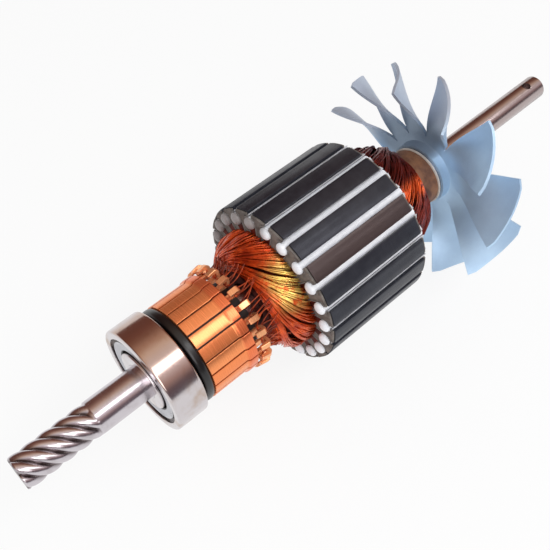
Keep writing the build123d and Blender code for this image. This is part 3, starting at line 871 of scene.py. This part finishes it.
def end_turn_paths(seat, length, outline, seed, coil_reach, slimmer=0.0, steps=28):
    """Centre lines of the end turns. Each coil leaves a slot, runs out and round the shaft over
    the coils before it, and dives under those after it. length is negative at the front."""
    chance = random.Random(seed)
    t = np.linspace(0, 1, steps)
    paths = []
    for start in slot_angles:
        swell = chance.uniform(0.1, 1.1)
        bend = chance.uniform(-8, 8)
        reach = coil_reach(start) * chance.uniform(0.93, 1.0)
        for _ in range(WIRES_PER_COIL):
            layer = chance.random() ** 1.3
            across = chance.uniform(-1, 1)
            out = np.sin(math.pi * t) ** 0.75 * reach * (1.0 - 0.12 * layer - 0.10 * abs(across))
            skin = np.interp(out, *outline)
            drop = DIVE_DEPTH * np.clip((t - 0.36) / 0.5, 0, 1) ** 1.5
            rope = swell * (1 - across ** 2) * np.sin(math.pi * np.clip(t * 1.9, 0, 1))
            waves = t * chance.uniform(1.5, 5) + chance.random()
            loose = LOOSENESS * np.sin(2 * math.pi * waves) * np.sin(math.pi * t)
            radius = skin - SKIN_DEPTH + rope - COIL_LAYERS_DEPTH * layer - drop + loose
            radius = np.clip(radius, WINDING_BORE_RADIUS, skin - SKIN_CLEARANCE)
            radius = radius * (1 - slimmer * slim_side(start))
            curl = bend * np.sin(math.pi * np.clip(t * 2, 0, 1))
            angle = start + across * COIL_HALF_SPREAD * (1 - 0.2 * np.sin(math.pi * t)) + curl
            angle = angle - TURN_SPAN * (t - 0.09 * np.sin(2 * math.pi * t))
            angle = angle + loose * LOOSE_TWIST
            paths.append(around(seat + length * out, radius, angle))
    return paths


front_paths = end_turn_paths(winding_seat_front + COIL_ROOT_DEPTH,
                             winding_front - winding_seat_front - COIL_EXTRA_REACH,
                             FRONT_OUTLINE, 4, even_reach)
piece("front_end_turns", wires(front_paths, WIRE_RADIUS, 4), "rotor", "enamelled_wire",
      ["front_winding"], sharp=120)
rear_paths = end_turn_paths(winding_seat_rear - COIL_ROOT_DEPTH,
                            winding_rear - winding_seat_rear + COIL_EXTRA_REACH,
                            REAR_OUTLINE, 7, longer_on_one_side, slimmer=0.1)
piece("rear_end_turns", wires(rear_paths, WIRE_RADIUS, 4), "rotor", "varnished_wire",
      ["rear_winding"], sharp=120)

packing_bore = BODY_RADIUS + PACKING_BORE_GAP
# The packings take the dark wire colour, as painted shade between the turns.
lathe("front_winding_packing", [
    (winding_front + 1.6, packing_bore, 0), (winding_front + 1.6, 8.5, 0.5),
    (winding_front + 3.2, 12.0, 1.0), (winding_seat_front - 2.0, 15.2, 1.0),
    (winding_seat_front, PACKING_SEAT_RADIUS, 0), (winding_seat_front, packing_bore, 0),
], "rotor", "enamelled_wire", ["front_winding"], finish="packed_wire", turns=88)
lathe("rear_winding_packing", [
    (winding_seat_rear, packing_bore, 0), (winding_seat_rear, PACKING_SEAT_RADIUS, 0),
    (winding_seat_rear + 7.0, 14.6, 1.0), (winding_rear - 5.0, 10.4, 1.0),
    (winding_rear - 2.5, 8.6, 0.5), (winding_rear - 2.5, packing_bore, 0),
], "rotor", "varnished_wire", ["rear_winding"], finish="packed_wire", turns=88)


# Commutator bars, with the tangs folded over the leads

def bar_shape():
    """Turned copper bars: each is worn a little flatter than the circle, with a raised shoulder."""
    half_pitch = math.radians(SLOT_PITCH / 2)
    outline = np.array(eased([
        (bar_front, BAR_FOOT_RADIUS, 0), (bar_front, BAR_RADIUS, 0.18),
        (shoulder_front, BAR_RADIUS, 0.2),
        (shoulder_front + SHOULDER_RISE_LENGTH, SHOULDER_RADIUS, 0.3),
        (bar_rear, SHOULDER_RADIUS, 0.25), (bar_rear, BAR_FOOT_RADIUS, 0),
    ], steps=3))
    x, r = outline[:, 0], outline[:, 1]
    rows = []
    for share, drop in zip(BAR_ACROSS, BAR_EDGE_DROP):
        side = (r * math.sin(half_pitch) - BAR_SPLIT / 2) * share
        round_top = np.sqrt(r ** 2 - side ** 2)
        worn_top = round_top * BAR_ROUNDNESS + (r - BAR_WEAR) * (1 - BAR_ROUNDNESS)
        rows.append(np.stack([x, np.minimum(worn_top, round_top) - drop, side], axis=-1))
    return repeated(np.concatenate(rows), rod_faces(len(rows), len(outline)), bar_angles)


def tang_shape():
    """Tangs: each rises from the shoulder's back and is folded forward over its leads."""
    foot = SHOULDER_RADIUS - TANG_FOOT_DROP
    top = foot + TANG_RISE
    fold = bar_rear + 0.75
    inside = tang_rear - 0.9
    outline = np.array(eased([
        (bar_rear - 0.05, foot - 0.85, 0), (tang_rear - 0.6, foot - 0.85, 0.3),
        (tang_rear, foot, 0.3), (tang_rear, top - 0.7, 0.4), (tang_rear - 0.8, top, 0.4),
        (fold, top - 0.45, 0.15), (fold, top - 1.15, 0.15), (inside, top - 1.0, 0.2),
        (inside, foot, 0.2), (bar_rear - 0.05, foot, 0),
    ], steps=3))
    away = outline - outline.mean(axis=0)
    outward = away / np.linalg.norm(away, axis=1, keepdims=True)
    rows = []
    for share, shrink in ((-1, TANG_ROUNDING), (-0.9, 0), (0.9, 0), (1, TANG_ROUNDING)):
        kept = outline - outward * shrink
        side = np.full(len(outline), share * TANG_HALF_WIDTH)
        rows.append(np.stack([kept[:, 0], kept[:, 1], side], axis=-1))
    return repeated(np.concatenate(rows), rod_faces(len(rows), len(outline)), bar_angles)


bar_points, bar_faces = bar_shape()
tang_points, tang_faces = tang_shape()
copper_faces = bar_faces + [tuple(v + len(bar_points) for v in face) for face in tang_faces]
piece("turned_bars", (np.concatenate([bar_points, tang_points]), copper_faces), "rotor",
      "commutator_copper", bar_nodes, sharp=16)


def lead_paths():
    """Three leads at each tang, from under its fold back to where the winding hides them."""
    chance = random.Random(11)
    hook_x = tang_rear - LEAD_FROM_TANG_END
    t = np.linspace(0, 1, 16)
    paths = []
    for middle in bar_angles:
        for side in (-1, 0.3, 1):
            drift = chance.uniform(-22, 4)
            end = winding_front + chance.uniform(1.4, 3.6)
            x = hook_x + (end - tang_rear + LEAD_FROM_TANG_END) * t
            sag = chance.uniform(0.6, 2.4)
            rise = chance.uniform(0.0, 1.5)
            radius = LEAD_START_RADIUS - sag * np.sin(math.pi * t ** 0.8) + rise * t ** 2
            angle = middle + side * LEAD_SPREAD + drift * t ** 1.4
            hook_turn = np.linspace(middle, middle + side * LEAD_HOOK_SPREAD, 4)
            hook = around(hook_x, LEAD_HOOK_RADIUS, hook_turn)
            paths.append(np.concatenate([hook, around(x, radius, angle)]))
    return paths


piece("tang_leads", wires(lead_paths(), LEAD_RADIUS, 6), "rotor", "enamelled_wire",
      ["winding_leads"], finish="lead_wire", sharp=80)

# Sleeve and washer behind the rear winding

lathe("wrapped_sleeve", [
    (sleeve_front - 4.0, BODY_RADIUS + FIT_GAP, 0), (sleeve_front - 4.0, 9.6, 0.2),
    (sleeve_front - 0.6, 9.35, 0.2), (sleeve_front - 0.4, 9.0, 0.1),
    (sleeve_rear, sleeve_radius - 0.15, 0.2), (sleeve_rear, BODY_RADIUS + FIT_GAP, 0),
], "rotor", "tan_sleeve", ["rear_sleeve"])
lathe("edge_washer", [
    (washer_front, BODY_RADIUS + FIT_GAP, 0), (washer_front, washer_radius, 0.15),
    (washer_rear, washer_radius, 0.15), (washer_rear, BODY_RADIUS + FIT_GAP, 0),
], "rotor", "pale_washer", ["rear_washer"])


# Fan

def make_fan():
    """Fan cut and bent from one round sheet: a drawn collar and a flat disc, whose cambered
    blades twist as they leave it."""
    sector = 360 / FAN_BLADES
    columns = BLADE_COLUMNS + 1
    blade_angles = [FAN_BLADE_ANGLE + blade * sector for blade in range(FAN_BLADES)]
    shares = [k / BLADE_COLUMNS - 0.5 for k in range(columns)]
    rim = np.array([a + share * sector * FAN_ROOT_SHARE for a in blade_angles for share in shares])
    middle_plane = fan_plane + FAN_SHEET / 2
    neck = FAN_COLLAR_RADIUS - FAN_SHEET / 2
    rings = [around(x, radius, rim) for x, radius in (
        (fan_plane - FAN_COLLAR_LENGTH, neck), (fan_plane - 0.5, neck),
        (fan_plane + 0.1, neck + 0.25), (middle_plane, neck + FAN_COLLAR_FLARE),
        (middle_plane, FAN_ROOT_RADIUS))]
    points = list(np.concatenate(rings))
    faces = sheet_faces(len(rings), len(rim), closed_columns=True)
    last = (len(rings) - 1) * len(rim)
    for blade, degrees in enumerate(blade_angles):
        middle = math.radians(degrees)
        radial = np.array([0, math.cos(middle), math.sin(middle)])
        sideways = np.array([0, -math.sin(middle), math.cos(middle)])
        lean = FAN_CONE + FAN_LEAN * math.cos(math.radians(degrees - FAN_LEAN_ANGLE))
        previous = [last + blade * columns + k for k in range(columns)]
        for row in range(1, BLADE_ROWS + 1):
            v = row / BLADE_ROWS
            pitch = math.radians(FAN_PITCH) * math.sin(math.radians(90 * v))
            chord = FAN_ROOT_CHORD + (FAN_TIP_CHORD - FAN_ROOT_CHORD) * v
            current = []
            for u in shares:
                bow = 4 * FAN_CAMBER * v * (0.25 - u * u)
                off = u * chord * math.cos(pitch) + bow * math.sin(pitch)
                corner = max(0.0, abs(u) - FAN_CORNER_FROM) / (0.5 - FAN_CORNER_FROM)
                rounding = FAN_CORNER_CUT * corner ** 2
                tip = math.sqrt((fan_radius - FAN_TIP_GAP) ** 2 - off ** 2) - rounding
                reach = FAN_ROOT_RADIUS + (tip - FAN_ROOT_RADIUS) * v
                x = middle_plane - lean * v - u * chord * math.sin(pitch) + bow * math.cos(pitch)
                current.append(len(points))
                points.append(np.array([x, 0, 0]) + radial * reach + sideways * off)
            for k in range(BLADE_COLUMNS):
                faces.append((previous[k], previous[k + 1], current[k + 1], current[k]))
            previous = current
    made = piece("sheet_fan", (points, faces), "rotor", "fan_aluminium", ["fan"])
    thick = made.modifiers.new("sheet", "SOLIDIFY")
    thick.thickness = FAN_SHEET * MM
    thick.offset = 0
    crisp = made.modifiers.new("crisp_edges", "EDGE_SPLIT")
    crisp.split_angle = math.radians(45)


make_fan()
lathe("hub_bush", [
    (hub_front, HUB_BORE_RADIUS, 0), (hub_front, HUB_BACK_RADIUS, 0),
    (fan_plane, HUB_BACK_RADIUS, 0), (fan_plane, HUB_RADIUS, 0),
    (hub_rear, HUB_RADIUS, 0.5), (hub_rear, HUB_BORE_RADIUS, 0.2),
], "rotor", "fan_aluminium", ["fan_hub"], finish="ground_steel")


# Floor, light and camera

FLOOR_HALF = 3000.0
FLOOR_DROP = 0.1
AMBIENT_LEVEL = 0.58

# What the metal mirrors by its angle about the shaft, as (share of a turn, tone)
MIRRORED_BANDS = [
    (0.00, tone(112, 102, 108)), (0.04, tone(208, 204, 212)), (0.35, tone(212, 210, 218)),
    (0.42, tone(140, 120, 114)), (0.50, tone(122, 84, 74)), (0.56, tone(118, 78, 66)),
    (0.60, tone(128, 84, 70)), (0.64, tone(146, 106, 88)), (0.69, tone(196, 158, 136)),
    (0.73, tone(234, 210, 190)), (0.77, tone(236, 222, 216)), (0.86, tone(234, 222, 226)),
    (0.91, tone(188, 160, 156)), (0.95, tone(108, 90, 96)), (1.00, tone(112, 102, 108)),
]

# Camera at the photograph's place, found by fitting the shaft, core and fan to it
CAMERA_PLACE = (-45.295, -92.865, 178.889)
CAMERA_LENS = 53.5
CAMERA_RIGHT = (0.73606, -0.67692, 0.0)
CAMERA_UP = (0.55003, 0.59808, 0.58289)
CAMERA_BACK = (-0.39457, -0.42904, 0.81255)


def make_floor(level):
    """Plain pale floor, white to the eye and to metal, that still takes a soft shadow."""
    material, tree, shader = finish_of("pale_floor", Base_Color=(0.9, 0.9, 0.9, 1), Roughness=0.9)
    white = add(tree, "ShaderNodeEmission", Color=WHITE, Strength=1.0)
    rays = add(tree, "ShaderNodeLightPath").outputs
    seen = math_node(tree, "MAXIMUM", rays["Is Camera Ray"], math_node(
        tree, "MAXIMUM", rays["Is Glossy Ray"], rays["Is Transmission Ray"]))
    mix = add(tree, "ShaderNodeMixShader", n0=product(tree, seen, 0.85),
              n1=shader.outputs[0], n2=white.outputs[0])
    tree.links.new(mix.outputs[0], tree.nodes["Material Output"].inputs["Surface"])
    corners = ((-1, -1), (1, -1), (1, 1), (-1, 1))
    mesh = bpy.data.meshes.new("floor")
    mesh.from_pydata([(x * FLOOR_HALF * MM, y * FLOOR_HALF * MM, level) for x, y in corners],
                     [], [(0, 1, 2, 3)])
    mesh.materials.append(material)
    floor = bpy.data.objects.new("floor", mesh)
    bpy.context.scene.collection.objects.link(floor)


def make_world():
    """White to the eye, plain light on the object, and soft warm and dark bands in the metal."""
    world = bpy.data.worlds.new("studio")
    bpy.context.scene.world = world
    world.use_nodes = True
    tree = world.node_tree
    tree.nodes.clear()
    direction = add(tree, "ShaderNodeTexCoord").outputs["Generated"]
    parts = add(tree, "ShaderNodeSeparateXYZ", Vector=direction).outputs
    angle = math_node(tree, "ARCTAN2", parts["Z"], parts["Y"])
    turn = math_node(tree, "ADD", math_node(tree, "DIVIDE", angle, 2 * math.pi), 0.5)
    ramp = add(tree, "ShaderNodeValToRGB", Fac=turn)
    elements = ramp.color_ramp.elements
    elements[0].position, elements[0].color = MIRRORED_BANDS[0]
    elements[1].position, elements[1].color = MIRRORED_BANDS[-1]
    for position, colour in MIRRORED_BANDS[1:-1]:
        elements.new(position).color = colour
    rays = add(tree, "ShaderNodeLightPath").outputs
    mirrored = add(tree, "ShaderNodeBackground", Color=ramp.outputs[0], Strength=1.0)
    white = add(tree, "ShaderNodeBackground", Color=WHITE, Strength=1.0)
    ambient = add(tree, "ShaderNodeBackground", Color=WHITE, Strength=AMBIENT_LEVEL)
    lit = add(tree, "ShaderNodeMixShader", n0=rays["Is Glossy Ray"], n1=ambient.outputs[0],
              n2=mirrored.outputs[0])
    clear = math_node(tree, "MAXIMUM", rays["Is Camera Ray"], rays["Is Transmission Ray"])
    mix = add(tree, "ShaderNodeMixShader", n0=clear, n1=lit.outputs[0], n2=white.outputs[0])
    add(tree, "ShaderNodeOutputWorld", Surface=mix.outputs[0])


def placed(name, data, right, up, back, place_mm):
    """Lamp or camera that looks against its back vector from a place."""
    made = bpy.data.objects.new(name, data)
    rows = zip(right, up, back, [p * MM for p in place_mm])
    made.matrix_world = Matrix([list(row) for row in rows] + [[0, 0, 0, 1]])
    bpy.context.scene.collection.objects.link(made)
    return made


def softbox(name, place_mm, aim_mm, size_mm, power):
    """Rectangular soft light aimed at a point; its first size lies level."""
    data = bpy.data.lights.new(name, "AREA")
    data.shape = "RECTANGLE"
    data.size = size_mm[0] * MM
    data.size_y = size_mm[1] * MM
    data.energy = power
    back = np.array(place_mm, float) - np.array(aim_mm, float)
    back /= np.linalg.norm(back)
    right = np.cross((0, 0, 1), back)
    right /= np.linalg.norm(right)
    placed(name, data, right, np.cross(back, right), back, place_mm)


def make_camera():
    data = bpy.data.cameras.new("camera")
    data.lens = CAMERA_LENS
    data.sensor_width = 36.0
    data.clip_start = 0.01
    bpy.context.scene.camera = placed("camera", data, CAMERA_RIGHT, CAMERA_UP, CAMERA_BACK,
                                      CAMERA_PLACE)


make_floor(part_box("fan")[0].z - FLOOR_DROP * MM)
make_world()
softbox("long_softbox", place_mm=(375, -276, 533), aim_mm=(375, 0, 0), size_mm=(900, 170),
        power=1.6)
softbox("fill_softbox", place_mm=(-200, -300, 300), aim_mm=(40, 0, 0), size_mm=(300, 300),
        power=0.7)
make_camera()
bpy.context.scene.view_settings.view_transform = "Standard"
